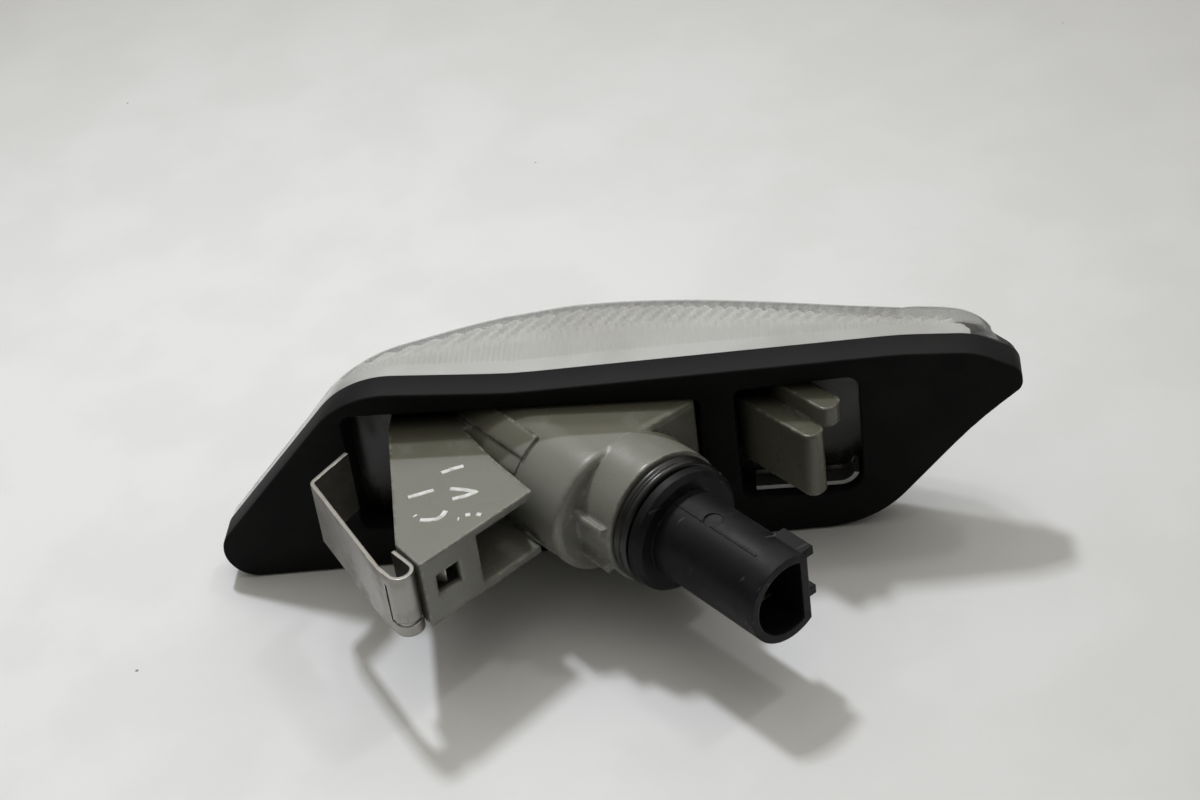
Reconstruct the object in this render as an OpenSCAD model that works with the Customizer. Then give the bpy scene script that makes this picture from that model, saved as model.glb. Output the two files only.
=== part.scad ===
/* [Lamp outline] */
// Length of the gasket and lens outline, tip to tip
lamp_l = 107.2; // [100:0.5:120]
// Height of the outline between its lowest and highest edge
lamp_h = 31.2; // [30:0.5:36]
// Depth of the lens in front of the gasket, at its deepest
lens_depth = 16; // [13:0.5:20]
// Wall thickness of the lens
lens_wall = 2.2; // [1.6:0.1:2.6]
// Distance between two prism flutes inside the lens
flute_pitch = 2.1; // [1.6:0.1:3]
// Height of one prism flute
flute_h = 0.4; // [0.2:0.05:0.6]
/* [Gasket] */
// Thickness of the foam gasket
gasket_t = 4.6; // [3:0.1:6]
// Gap between the foam's edge and the housing that passes through it
gasket_gap = 0.8; // [0.5:0.1:1.5]
// Width of the window round the two hooks
hook_window_w = 15.9; // [15:0.1:17]
/* [Housing] */
// Thickness of the plate that closes the back of the lens
plate_t = 2; // [1.5:0.1:2.5]
// Wall thickness of the lamp body
body_wall = 1.5; // [1.2:0.1:2]
// Outer radius of the round lamp body
body_r = 8.8; // [8.7:0.1:9.5]
// Distance of the body's centre line beside the socket axis
body_offset = 3.6; // [2.5:0.1:4.5]
// Angle of the socket axis away from straight back
socket_angle = 43; // [38:1:46]
// Distance from the origin to the body's end face, along the socket axis
body_reach = 10.5; // [10:0.1:12]
/* [Socket neck] */
// Outer radius of the neck
neck_r = 9; // [8.8:0.1:9.6]
// Radius of the bore that takes the bulb holder
bore_r = 6.3; // [6.2:0.05:6.5]
// Length of the neck beyond the body's end face
neck_l = 6.1; // [5:0.1:8]
/* [Clip box] */
// Height of the box that carries the spring clip
box_h = 9.9; // [9.5:0.1:12]
// Height of the box's top face above the socket axis
box_top = 6.5; // [6:0.1:7]
// Distance from the origin to the box's end face, along the socket axis
box_reach = 8; // [7:0.1:9]
// Distance from the socket axis to the box's outer wall
box_side = 31; // [30:0.1:32]
// Thickness of the box's plates and walls
box_wall = 1; // [0.8:0.1:1.2]
/* [Spring clip] */
// Thickness of the spring steel strip
strip_t = 0.55; // [0.4:0.05:0.7]
// Width of the strip
strip_w = 9.2; // [8:0.1:9.4]
// Inner radius of the strip's return bend
strip_bend_r = 1.25; // [1:0.05:1.6]
/* [Hooks] */
// Thickness of each hook
hook_t = 3.2; // [2.5:0.1:3.4]
// Reach of the hooks behind the panel seat, along the socket axis
hook_reach = 25.7; // [24:0.1:27]
// Height of the tall hook
hook_h = 9.4; // [8:0.1:10]
// Height of the short hook
short_hook_h = 2.6; // [2:0.1:3]
/* [Bulb holder] */
// Clearance between the holder's barrel and the neck's bore
holder_fit = 0.08; // [0.05:0.01:0.1]
// Radius of the collar outside the seal
collar_r = 8.3; // [8:0.1:8.8]
// Thickness of the collar
collar_t = 2.2; // [1.6:0.1:3]
// Outer radius of the connector shroud
shroud_r = 5.95; // [5.8:0.05:6.1]
// Length of the shroud beyond the collar
shroud_l = 18.2; // [16:0.1:22]
// Wall thickness of the shroud
shroud_wall = 1.1; // [0.9:0.05:1.3]
// Distance from the holder's axis to the flat side of the shroud
shroud_flat = 3.3; // [3:0.1:4]
// Thickness of the rubber seal ring
seal_d = 2.4; // [2:0.1:2.6]
/* [Bulb and terminals] */
// Overall length of the wedge base bulb
bulb_l = 26.8; // [25:0.1:28]
// Radius of the bulb's glass
bulb_r = 5; // [4.7:0.05:5.1]
// Width of the bulb's flat wedge base
wedge_w = 9.4; // [9:0.1:9.6]
// Thickness of the bulb's flat wedge base
wedge_t = 2.1; // [1.9:0.05:2.3]
// Width of a terminal blade
blade_w = 2.8; // [2.2:0.1:2.8]
// Thickness of a terminal blade
blade_t = 0.6; // [0.5:0.05:0.8]
// Distance of each blade from the holder's axis
blade_offset = 3; // [2.9:0.05:3.1]
/* [Hidden] */
round_faces = 64;
arc_step = 7;
min_r = 0.1;
// Drawn length and height of the outline, which the corners below are measured on
outline_l = 107.2;
outline_h = 31.2;
stretch_x = lamp_l / outline_l;
stretch_z = lamp_h / outline_h;
// Corners of the outline as X, Z and rounding radius: nose tip, nose top, waist, crown,
// rear shoulder, upper and lower rear tip, flank, belly
outline_corners = [
    [-56 * stretch_x, -17.2 * stretch_z, 4.35],
    [-29.8 * stretch_x, 12.6 * stretch_z, 13],
    [-8 * stretch_x, 11.6 * stretch_z, 60],
    [42 * stretch_x, 14.2 * stretch_z, 45],
    [51.2 * stretch_x, 13.8 * stretch_z, 9],
    [56.8 * stretch_x, 10.9 * stretch_z, 2.6],
    [56.95 * stretch_x, 8.1 * stretch_z, 1.8],
    [51 * stretch_x, 2.9 * stretch_z, 60],
    [37.5 * stretch_x, -12.8 * stretch_z, 15]
];
seat_clear = 0.05;
lens_edge = 0.2;
rim_relief = 0.15;
plate_front = gasket_t + plate_t;
weld_gap = 0.1;
// Steepness of the lens section, from the soft nose to the square middle
nose_power = 2;
middle_power = 6.5;
lens_stations = 44;
section_steps = 12;
// Places where the front surface begins, is deepest and ends, along X
nose_x = -50.4 * stretch_x;
deepest_x = -1 * stretch_x;
back_run = 16;
tail_x = 53.8 * stretch_x;
tail_start_x = 43 * stretch_x;
tail_depth = lens_depth * 0.34;
// Window of the gasket and opening of the body
body_right = 15.4;
window_left = -30.5;
window_right = body_right + gasket_gap;
window_top = body_r + gasket_gap / 2;
window_bottom = -body_r - gasket_gap;
window_r = 1.5;
hook_window_x = 20.5;
hook_window_low = -7.5;
hook_window_high = 11.1;
hook_window_r = 3.2;
hook_window = [
    [hook_window_x, hook_window_low, window_r],
    [hook_window_x, hook_window_high - 1.1, window_r],
    [hook_window_x + hook_window_w, hook_window_high, window_r],
    [hook_window_x + hook_window_w, hook_window_low + 0.3, hook_window_r]
];
hook_clear = 0.3;
// Distance of the hooks beside the socket axis, and how far they run into the plate
hook_side = 17.3;
hook_root = -6;
ledge_top = hook_window_low + 1;
// Thin shelf of the lens that follows the lower edge of the hook window
shelf_gap = 0.4;
shelf_t = 0.6;
shelf_back = 1.2;
shelf_left = 22.3;
shelf_top = -4.8;
// Raised pad and step on the round body: first and last angle, height, and end along the axis
body_bands = [[110, 131, 0.45, 1.2], [128, 146, 0.15, 1]];
// Softened edge of the body's end face, as steps back and inwards
body_edge = [[0.9, 0], [0.35, 0.2], [0, 0.75]];
// Ribs and keyway bulge on the neck
rib_angles = [164, 200];
rib_t = 0.9;
rib_h = 1;
bulge_a = -14;
bulge_w = 6.4;
bulge_h = 1.2;
lug_angles = [0, 120, 240];
keyway_turn = 45;
keyway_gap = 0.2;
// Clip box, in distances along (s) and across (e) the socket axis
box_shoulder = 2.8;
box_root = -16.8;
box_root_side = 17.8;
box_inner_side = 12.7;
recess_side = 22.2;
recess_depth = 9;
tang_w = 2.6;
tang_z = 2;
tang_s = 3.4;
tang_reach = 4.6;
tang_gap = 0.5;
small_window_side = 29;
small_window_w = 3.7;
small_window_z = 0.4;
small_window_h = 3.2;
box_foot_x = -24.5;
box_foot_l = 15;
// Larger than any part, for cuts that run right through
far = 60;
strip_top = box_top - 0.5;
// Holder, along the socket axis
neck_end = body_reach + neck_l;
collar_in = neck_end + seat_clear + seal_d + seat_clear;
collar_out = collar_in + collar_t;
shroud_end = collar_out + shroud_l;
barrel_r = bore_r - holder_fit;
lug_r = body_r - body_wall - 0.2;
lug_l = 1.5;
lug_a = 34;
lug_gap = 0.1;
barrel_in = body_reach - body_wall - lug_gap - lug_l - 1.2;
web_in = collar_in - 2.4;
web_out = collar_out + 3;
ear_l = 5;
ear_out = 1.3;
ear_t = 1.2;
ear_high = 4.7;
ear_low = -1.4;
parting_a = 105;
parting_w = 0.25;
parting_h = 0.08;
sink_a = 96;
sink_s = 6;
sink_r = 1.2;
sink_depth = 0.25;
seal_major = barrel_r + 0.1 + seal_d / 2;
// Bulb, along the socket axis
bulb_base = web_in - 0.7;
wedge_l = 7.6;
bulb_tip = bulb_base - bulb_l;
glass_wall = 0.6;
glass_neck = bulb_base - wedge_l - 1;
wire_r = 0.25;
wire_gap = 0.03;
wire_side = 1.1;
coil_r = 0.32;
filament_s = bulb_tip + bulb_l * 0.466;
blade_end = shroud_end - 5;
contact_s = bulb_base - 4.4;
contact_gap = wedge_t / 2 + 2 * wire_r + blade_t / 2 + 0.08;

function unit(v) = v / norm(v);
function turn(a) = a > 180 ? a - 360 : a < -180 ? a + 360 : a;
// Points of the arc that rounds the corner b between the neighbours a and c
function corner_arc(a, b, c, r) =
    let (u = unit(a - b), v = unit(c - b))
    let (half = acos(min(1, max(-1, u * v))) / 2)
    let (middle = b + unit(u + v) * r / sin(half))
    let (first = b + u * r / tan(half), last = b + v * r / tan(half))
    let (from = atan2(first.y - middle.y, first.x - middle.x))
    let (sweep = turn(atan2(last.y - middle.y, last.x - middle.x) - from))
    let (steps = max(1, ceil(abs(sweep) / arc_step)))
    [for (i = [0:steps]) middle + r * [cos(from + sweep * i / steps), sin(from + sweep * i / steps)]];
function flat(p) = [p.x, p.y];
// Closed path through corners of the form [x, y, radius]
function rounded(corners) =
    let (n = len(corners))
    [for (i = [0:n - 1])
        each corner_arc(flat(corners[(i + n - 1) % n]), flat(corners[i]),
                        flat(corners[(i + 1) % n]), corners[i][2])];
// Open path through corners of the form [x, y, radius], with its two ends kept
function bent(corners) =
    let (n = len(corners))
    [flat(corners[0]),
     for (i = [1:n - 2]) each corner_arc(flat(corners[i - 1]), flat(corners[i]),
                                         flat(corners[i + 1]), corners[i][2]),
     flat(corners[n - 1])];
function right_of(v) = [v.y, -v.x];
// The outline's corners moved inwards by d
function inset(corners, d) =
    let (n = len(corners))
    [for (i = [0:n - 1])
        let (a = flat(corners[(i + n - 1) % n]), b = flat(corners[i]), c = flat(corners[(i + 1) % n]))
        let (t1 = unit(b - a), t2 = unit(c - b))
        let (n1 = right_of(t1), n2 = right_of(t2))
        let (bulges = t1.x * t2.y - t1.y * t2.x < 0)
        let (p = b + d * (n1 + n2) / (1 + n1 * n2))
        [p.x, p.y, max(min_r, corners[i][2] + (bulges ? -d : d))]];
function outline(d) = rounded(inset(outline_corners, d));
// Outline of a strip of thickness t that follows a path
function strip_sides(path, t) =
    let (n = len(path))
    let (way = [for (i = [0:n - 1]) unit(path[min(n - 1, i + 1)] - path[max(0, i - 1)])])
    concat([for (i = [0:n - 1]) path[i] + right_of(way[i]) * t / 2],
           [for (i = [n - 1:-1:0]) path[i] - right_of(way[i]) * t / 2]);
function bezier(a, b, c, d, t) =
    a * pow(1 - t, 3) + 3 * b * t * pow(1 - t, 2) + 3 * c * t * t * (1 - t) + d * pow(t, 3);
// Depth of the lens along X: a streamlined nose, a long shallow back and a round tail
depth_steps = 24;
depth_line = concat(
    [for (i = [0:depth_steps - 1])
        bezier([nose_x, 0.3], [nose_x * 0.68, 0.5], [nose_x * 0.4, lens_depth * 0.93],
               [deepest_x, lens_depth], i / depth_steps)],
    [for (i = [0:depth_steps - 1])
        bezier([deepest_x, lens_depth], [deepest_x + back_run, lens_depth],
               [tail_x * 0.55, lens_depth * 0.56], [tail_start_x, tail_depth], i / depth_steps)],
    [for (i = [0:10])
        let (a = i * 9)
        [tail_start_x + (tail_x - tail_start_x) * sin(a), tail_depth * cos(a) + 0.3]]);
function blend(x, x0, x1) = min(1, max(0, (x - x0) / (x1 - x0)));
function power_at(x) =
    nose_power + (middle_power - nose_power) * pow(blend(x, nose_x * 0.8, nose_x * 0.2), 1.5);
function leftmost(path) = min([for (p = path) p.x]);
function rightmost(path) = max([for (p = path) p.x]);
function first_at(path, x) = [for (i = [0:len(path) - 1]) if (path[i].x == x) i][0];
function walk(path, from, to) =
    let (n = len(path))
    [for (i = [0:(to - from + n) % n]) path[(from + i) % n]];
// One section of the lens: a flat arch between the lower and the upper edge
function arch(x, low, high, depth) =
    let (h = (high - low) / 2, middle = (high + low) / 2, power = power_at(x))
    [for (k = [0:section_steps])
        let (a = 180 * k / section_steps)
        [x, depth * pow(abs(sin(a)), 2 / power), middle - h * sign(cos(a)) * pow(abs(cos(a)), 2 / power)]];

// Moves local X, Y, Z to across, up and along the socket axis
module on_socket() {
    rotate([90, 0, socket_angle]) children();
}
// Draws a shape of the X-Z plane from the plane Y = from to the plane Y = to
module across_panel(from, to) {
    translate([0, to, 0]) rotate([90, 0, 0]) linear_extrude(to - from) children();
}
// Draws a shape given in across and along distances, between two heights
module on_top(low, high) {
    rotate([0, 0, socket_angle]) translate([0, 0, low]) linear_extrude(high - low)
        mirror([0, 1]) children();
}
module rounded_rect(x0, y0, x1, y1, r) {
    polygon(rounded([[x0, y0, r], [x0, y1, r], [x1, y1, r], [x1, y0, r]]));
}
// Solid between a row of sections, closed by its ends and its open side
module loft(sections) {
    n = len(sections);
    m = len(sections[0]);
    points = [for (s = sections) each s];
    sides = [for (i = [0:n - 2], k = [0:m - 2])
        each [[i * m + k, (i + 1) * m + k, (i + 1) * m + k + 1],
              [i * m + k, (i + 1) * m + k + 1, i * m + k + 1]]];
    back = [for (i = [0:n - 2])
        each [[i * m + m - 1, (i + 1) * m + m - 1, (i + 1) * m],
              [i * m + m - 1, (i + 1) * m, i * m]]];
    start = [for (k = [1:m - 2]) [0, k, k + 1]];
    finish = [for (k = [1:m - 2]) [(n - 1) * m, (n - 1) * m + k + 1, (n - 1) * m + k]];
    polyhedron(points = points, faces = concat(sides, back, start, finish));
}
module lens_form(d, stations, flute) {
    path = outline(d);
    x0 = leftmost(path);
    x1 = rightmost(path);
    left = first_at(path, x0);
    right = first_at(path, x1);
    upper = [for (p = walk(path, left, right)) [p.x, p.y]];
    lower = [for (p = walk(path, right, left)) [p.x, p.y]];
    margin = 0.15;
    loft([for (i = [0:stations])
        let (u = i / stations)
        let (x = x0 + margin + (x1 - x0 - 2 * margin) * (flute > 0 ? u : (1 - cos(180 * u)) / 2))
        let (deep = max(0.3, lookup(x, depth_line) - d + lens_edge))
        arch(x, lookup(x, lower), lookup(x, upper), max(0.25, deep - (i % 2) * flute * blend(deep, 1, 3)))]);
}
module lens() {
    inner = lens_edge + lens_wall;
    span = lamp_l - 2 * inner;
    flutes = 2 * round(span / flute_pitch);
    color([0.9, 0.92, 0.93, 0.55]) resize([lamp_l - 2 * lens_edge, 0, 0]) {
        difference() {
            union() {
                translate([0, plate_front, 0]) lens_form(lens_edge, lens_stations, 0);
                across_panel(gasket_t, plate_front + 0.1) polygon(outline(lens_edge));
                lens_shelf(shelf_back, gasket_t - weld_gap, shelf_top);
                lens_shelf(gasket_t - 2 * weld_gap, gasket_t + 3 * weld_gap, ledge_top - weld_gap);
            }
            translate([0, plate_front - 0.1, 0]) lens_form(inner, flutes, flute_h);
            across_panel(gasket_t - 1, plate_front) difference() {
                polygon(outline(inner - rim_relief));
                lens_ledge(0);
            }
        }
    }
}
// Ledge of the lens below the hooks
module lens_ledge(gap) {
    translate([hook_window_x - 1 - gap, -lamp_h])
        square([hook_window_w + 3 + 2 * gap, lamp_h + ledge_top + gap]);
}
// Part of the shelf that lies between two depths and below the given height
module lens_shelf(from, to, top) {
    across_panel(from, to) intersection() {
        difference() {
            polygon(rounded(inset(hook_window, shelf_gap)));
            polygon(rounded(inset(hook_window, shelf_gap + shelf_t)));
        }
        translate([shelf_left, -lamp_h]) square([far, lamp_h + top]);
    }
}
module gasket() {
    color([0.07, 0.07, 0.08]) across_panel(0, gasket_t) difference() {
        polygon(outline(0));
        rounded_rect(window_left, window_bottom, window_right, window_top, window_r);
        polygon(rounded(hook_window));
    }
}
module hollow_section() {
    hollow_r = body_r - body_wall;
    translate([-body_offset, 0]) circle(r = hollow_r, $fn = round_faces);
    translate([-body_offset, -hollow_r]) square([body_offset + 2 * body_right, 2 * hollow_r]);
}
// Keeps what lies left of the body's right wall and behind the given plane
module body_limit(right, front) {
    intersection() {
        children();
        translate([-far, -far, -far]) cube([far + right, far + front, 2 * far]);
    }
}
// Part of a ring on the round body, between two angles
module body_band(from, to, r) {
    intersection() {
        difference() {
            circle(r = r, $fn = round_faces);
            circle(r = body_r - 0.5, $fn = round_faces);
        }
        polygon([[0, 0], 2 * r * [cos(from), sin(from)], 2 * r * [cos(to), sin(to)]]);
    }
}
// Half of the body's long section, with the softened edge
module body_profile() {
    polygon(concat([[0, -far], [body_r, -far]],
                   [for (edge = body_edge) [body_r - edge[1], body_reach - edge[0]]],
                   [[0, body_reach]]));
}
module housing_body() {
    body_limit(body_right, plate_front) on_socket() translate([-body_offset, 0, 0]) {
        rotate_extrude($fn = round_faces) body_profile();
        rotate([90, 0, 90]) linear_extrude(body_offset + 2 * body_right) {
            body_profile();
            mirror([1, 0]) body_profile();
        }
        for (band = body_bands)
            translate([0, 0, -far]) linear_extrude(far + band[3])
                body_band(band[0], band[1], body_r + band[2]);
    }
}
module housing_cavity() {
    body_limit(body_right - body_wall, plate_front + 1)
        on_socket() translate([0, 0, -far])
            linear_extrude(far + body_reach - body_wall) hollow_section();
}
module housing_neck() {
    on_socket() translate([0, 0, body_reach - 1]) {
        cylinder(r = neck_r, h = neck_l + 1, $fn = round_faces);
        // two ribs on the outer side, and the bulge over the keyway
        for (a = rib_angles)
            rotate(a) translate([neck_r - 0.5, -rib_t / 2, 0]) cube([0.5 + rib_h, rib_t, neck_l + 0.6]);
        rotate(bulge_a) intersection() {
            translate([0, -bulge_w / 2, 0]) cube([neck_r + 2 * bulge_h, bulge_w, neck_l + 0.6]);
            cylinder(r = neck_r + bulge_h, h = neck_l + 1, $fn = round_faces);
        }
    }
}
// Outline of the clip box in across and along distances
box_outline = [
    [-box_root_side, box_root],
    [-box_side + 0.3, box_shoulder],
    [-box_side, box_reach + 0.3],
    [-box_inner_side, box_reach - 1],
    [-box_inner_side + 0.7, box_reach - 10],
    [-box_inner_side + 2.3, -12]
];
module clip_box() {
    low = box_top - box_h;
    body_limit(body_right, plate_front)
        on_top(low, box_top) polygon(box_outline);
    // foot of the box, through the gasket
    translate([box_foot_x, 0, low]) cube([box_foot_l, plate_front, box_h]);
}
module clip_box_hollows() {
    low = box_top - box_h + box_wall;
    high = box_top - box_wall;
    // open recess beside the body
    on_top(low, high) translate([-recess_side, box_reach - recess_depth])
        square([recess_side - body_offset - body_r, recess_depth + 1]);
    // pocket behind the small window
    on_top(low, high) translate([-box_side + 1.1, box_shoulder - 2])
        square([box_side - recess_side - 2.1, box_reach - box_shoulder + 1]);
    // small window in the end face
    on_socket() translate([-small_window_side, small_window_z, box_reach - 2])
        cube([small_window_w, small_window_h, 3]);
    // slot through the outer wall for the clip's tang
    on_top(tang_z - tang_w / 2 - tang_gap / 2, tang_z + tang_w / 2 + tang_gap / 2)
        translate([-box_side - 1, tang_s - 0.6]) square([3, 3.4]);
}
module hook(side, low, high) {
    on_top(low, high) polygon(rounded([
        [side, hook_root, 0.2],
        [side, hook_reach, hook_t * 0.42],
        [side + hook_t, hook_reach - 0.6, hook_t * 0.42],
        [side + hook_t, hook_root, 0.2]
    ]));
}
module hooks() {
    low = box_top + 0.3 - hook_h;
    intersection() {
        union() {
            hook(hook_side, low, low + hook_h);
            hook(hook_side + hook_t - 0.1, low + hook_h - 0.1, low + hook_h + short_hook_h);
        }
        translate([hook_window_x + hook_clear, -far, -far])
            cube([2 * far, far + plate_front - weld_gap, 2 * far]);
    }
}
module housing() {
    color([0.55, 0.55, 0.5]) difference() {
        union() {
            across_panel(gasket_t, plate_front) difference() {
                polygon(outline(lens_edge + lens_wall + weld_gap));
                lens_ledge(weld_gap);
            }
            housing_body();
            housing_neck();
            clip_box();
            hooks();
        }
        housing_cavity();
        clip_box_hollows();
        // bore for the holder, with three keyways for its lugs
        on_socket() translate([0, 0, body_reach - body_wall - 1]) {
            cylinder(r = bore_r, h = neck_l + body_wall + 3, $fn = round_faces);
            for (a = lug_angles)
                rotate(a + keyway_turn - lug_a / 2 - 2)
                    rotate_extrude(angle = lug_a + 4, $fn = round_faces) translate([bore_r - 1, 0])
                        square([lug_r + keyway_gap - bore_r + 1, neck_l + body_wall + 3]);
        }
    }
}
// Path of the clip in across and along distances: tip, elbow, return bend, inner leg
clip_inner = -box_side - strip_t / 2 - seat_clear;
clip_outer = clip_inner - 2 * strip_bend_r - strip_t;
clip_tip = [-23.9, -17.8];
clip_elbow = [-30.6, -16];
slit_z = 1.6;
slit_t = 0.55;
tongue_l = 2.6;
clip_path = bent([
    [clip_tip.x, clip_tip.y, 0],
    [clip_elbow.x, clip_elbow.y, 0.9],
    [clip_outer - 0.05, 4, 4],
    [clip_outer - 0.1, box_reach, strip_bend_r + strip_t / 2],
    [clip_inner, box_reach, strip_bend_r + strip_t / 2],
    [clip_inner, box_shoulder + 0.2, 0]
]);
module spring_clip() {
    low = strip_top - strip_w;
    color([0.78, 0.78, 0.76]) {
        difference() {
            on_top(low, strip_top) polygon(strip_sides(clip_path, strip_t));
            // slits that free the tongue of the return bend
            on_top(low + slit_z, low + slit_z + slit_t)
                translate([clip_outer - 1, box_reach - tongue_l]) square([3.6, tongue_l + 2]);
            on_top(low + slit_z, strip_top - slit_z)
                translate([clip_outer - 1, box_reach - tongue_l]) square([2, slit_t]);
        }
        on_top(tang_z - tang_w / 2, tang_z + tang_w / 2)
            polygon(strip_sides(bent([[clip_inner, tang_s, 0], [clip_inner + 1.2, tang_s + 0.6, 0.8],
                                      [clip_inner + tang_reach, tang_s + 3.4, 0]]), strip_t));
    }
}
module shroud_section(shrink) {
    intersection() {
        circle(r = shroud_r - shrink, $fn = round_faces);
        translate([-far, -far]) square([far + shroud_flat - shrink, 2 * far]);
    }
}
module holder_lugs() {
    for (a = lug_angles)
        rotate(a - lug_a / 2) rotate_extrude(angle = lug_a, $fn = round_faces)
            translate([barrel_r - 1, 0]) square([lug_r - barrel_r + 1, lug_l]);
}
module bulb_holder() {
    color([0.12, 0.12, 0.15]) on_socket() difference() {
        union() {
            translate([0, 0, barrel_in])
                cylinder(r = barrel_r, h = collar_in + 0.5 - barrel_in, $fn = round_faces);
            translate([0, 0, body_reach - body_wall - lug_gap - lug_l]) holder_lugs();
            rotate_extrude($fn = round_faces) polygon([
                [0, collar_in], [collar_r - 0.4, collar_in], [collar_r, collar_in + 0.4],
                [collar_r, collar_out - 0.7], [collar_r - 0.7, collar_out], [0, collar_out]
            ]);
            translate([0, 0, collar_out - 1]) linear_extrude(shroud_l + 1) shroud_section(0);
            // guide ears beside the connector's latch
            for (z = [ear_low, ear_high])
                translate([shroud_flat - 0.6, z - ear_t / 2, shroud_end - ear_l - 0.3])
                    cube([ear_out + 0.6, ear_t, ear_l]);
            // parting line along the top
            rotate(parting_a) translate([shroud_r - 0.3, -parting_w / 2, collar_out - 0.5])
                cube([0.3 + parting_h, parting_w, shroud_l - 3]);
        }
        translate([0, 0, web_out]) linear_extrude(shroud_l + 9) shroud_section(shroud_wall);
        // round sink mark on top of the shroud
        rotate(sink_a) translate([shroud_r - sink_depth, 0, collar_out + sink_s])
            rotate([0, 90, 0]) cylinder(r = sink_r, h = 2, $fn = round_faces);
        // seat of the bulb: round mouth, wedge slot and room for the spring contacts
        translate([0, 0, barrel_in - 1])
            cylinder(r = bulb_r + 0.2, h = glass_neck + 2.4 - barrel_in, $fn = round_faces);
        translate([-wedge_w / 2 - 0.15, -wedge_t / 2 - 0.15, barrel_in])
            cube([wedge_w + 0.3, wedge_t + 0.3, web_in - barrel_in]);
        translate([-blade_w / 2 - 0.1, -blade_offset - blade_t / 2 - 0.2, barrel_in])
            cube([blade_w + 0.2, 2 * blade_offset + blade_t + 0.4, web_in - barrel_in]);
        for (side = [-1, 1])
            translate([0, side * blade_offset, web_in - 1])
                linear_extrude(web_out - web_in + 2)
                    square([blade_w + 2 * seat_clear, blade_t + 2 * seat_clear], center = true);
    }
}
module holder_seal() {
    color([0.05, 0.05, 0.05]) on_socket() translate([0, 0, collar_in - seat_clear - seal_d / 2])
        rotate_extrude($fn = round_faces) translate([seal_major, 0]) circle(r = seal_d / 2, $fn = 32);
}
module terminal(side) {
    color([0.75, 0.66, 0.4]) on_socket() mirror([0, side < 0 ? 1 : 0, 0])
        translate([-blade_w / 2, 0, 0]) rotate([90, 0, 90]) linear_extrude(blade_w)
            polygon(strip_sides(bent([
                [contact_gap + 0.6, contact_s - 2.2, 0],
                [contact_gap, contact_s, 0.6],
                [blade_offset, contact_s + 3, 1],
                [blade_offset, blade_end, 0]
            ]), blade_t));
}
module terminal_upper() {
    terminal(1);
}
module terminal_lower() {
    terminal(-1);
}
module bulb_glass() {
    color([0.95, 0.6, 0.2, 0.6]) on_socket() difference() {
        union() {
            rotate_extrude($fn = round_faces) polygon(concat(
                [[0, glass_neck + 1.2], [bulb_r - 1, glass_neck + 1.2], [bulb_r, glass_neck]],
                [for (a = [0:10:90]) [bulb_r * cos(a), bulb_tip + bulb_r * 0.8 * (1 - sin(a))]]));
            translate([-wedge_w / 2, -wedge_t / 2, glass_neck])
                cube([wedge_w, wedge_t, bulb_base - glass_neck]);
        }
        rotate_extrude($fn = round_faces) polygon(concat(
            [[0, glass_neck - 1], [bulb_r - glass_wall, glass_neck - 1]],
            [for (a = [0:10:90])
                [(bulb_r - glass_wall) * cos(a),
                 bulb_tip + glass_wall + (bulb_r * 0.8) * (1 - sin(a))]]));
        for (x = [-wire_side, wire_side])
            translate([x, 0, glass_neck - 2]) cylinder(r = wire_r + wire_gap, h = bulb_l, $fn = 24);
    }
}
module bulb_filament() {
    tail = wedge_l - 1.1;
    turn_s = bulb_base + wire_r + 0.05;
    side_y = wedge_t / 2 + wire_r + 0.03;
    color([0.7, 0.7, 0.68]) on_socket() {
        for (x = [-wire_side, wire_side])
            let (up = x > 0 ? 1 : -1) {
                translate([x, 0, filament_s]) cylinder(r = wire_r, h = turn_s - filament_s, $fn = 24);
                translate([x, up * side_y, turn_s - tail]) cylinder(r = wire_r, h = tail, $fn = 24);
                translate([x, 0, turn_s]) rotate([-90 * up, 0, 0])
                    cylinder(r = wire_r, h = side_y, $fn = 24);
            }
        translate([-wire_side - wire_r, 0, filament_s]) rotate([0, 90, 0])
            cylinder(r = coil_r, h = 2 * (wire_side + wire_r), $fn = 24);
    }
}
lens();
housing();
gasket();
spring_clip();
bulb_holder();
holder_seal();
terminal_upper();
terminal_lower();
bulb_glass();
bulb_filament();
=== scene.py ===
# %% [markdown]
# # A side repeater lamp on a table
#
# The lamp lies as it was laid down: on its nose and the lower bulge of its lens, seen from
# behind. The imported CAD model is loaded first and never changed. Everything below either gives
# one of its nodes a finish, or makes a finer piece, most of which stand in a node's place.
# Lengths on the lamp are in millimetres, and the factor MM turns them to metres for Blender.

import math

import bmesh
import bpy
import numpy as np
from mathutils import Matrix, Vector


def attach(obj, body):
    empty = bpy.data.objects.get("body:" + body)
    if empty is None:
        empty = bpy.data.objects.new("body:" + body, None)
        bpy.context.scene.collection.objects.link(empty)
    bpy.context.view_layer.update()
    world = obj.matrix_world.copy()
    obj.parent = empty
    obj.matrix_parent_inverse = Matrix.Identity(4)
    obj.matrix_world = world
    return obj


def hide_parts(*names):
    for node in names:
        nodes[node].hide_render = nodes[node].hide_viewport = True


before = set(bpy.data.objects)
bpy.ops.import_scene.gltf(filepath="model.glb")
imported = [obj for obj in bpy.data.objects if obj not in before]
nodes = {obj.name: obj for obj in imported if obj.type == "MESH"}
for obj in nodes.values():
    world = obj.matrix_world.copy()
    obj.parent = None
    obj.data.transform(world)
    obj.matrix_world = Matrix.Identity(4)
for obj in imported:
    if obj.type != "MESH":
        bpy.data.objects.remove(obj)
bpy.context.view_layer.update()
MM = 0.001
print("nodes:", ", ".join(sorted(nodes)))

# %% [markdown]
# ## Directions on the lamp
#
# The bulb socket points back and towards the hook end, 43 degrees from straight back. Three
# directions describe everything that is built round it: along the socket, across it, and up.
# One matrix that carries local X, Y, Z to across, up and along saves turning each piece by hand.

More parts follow.
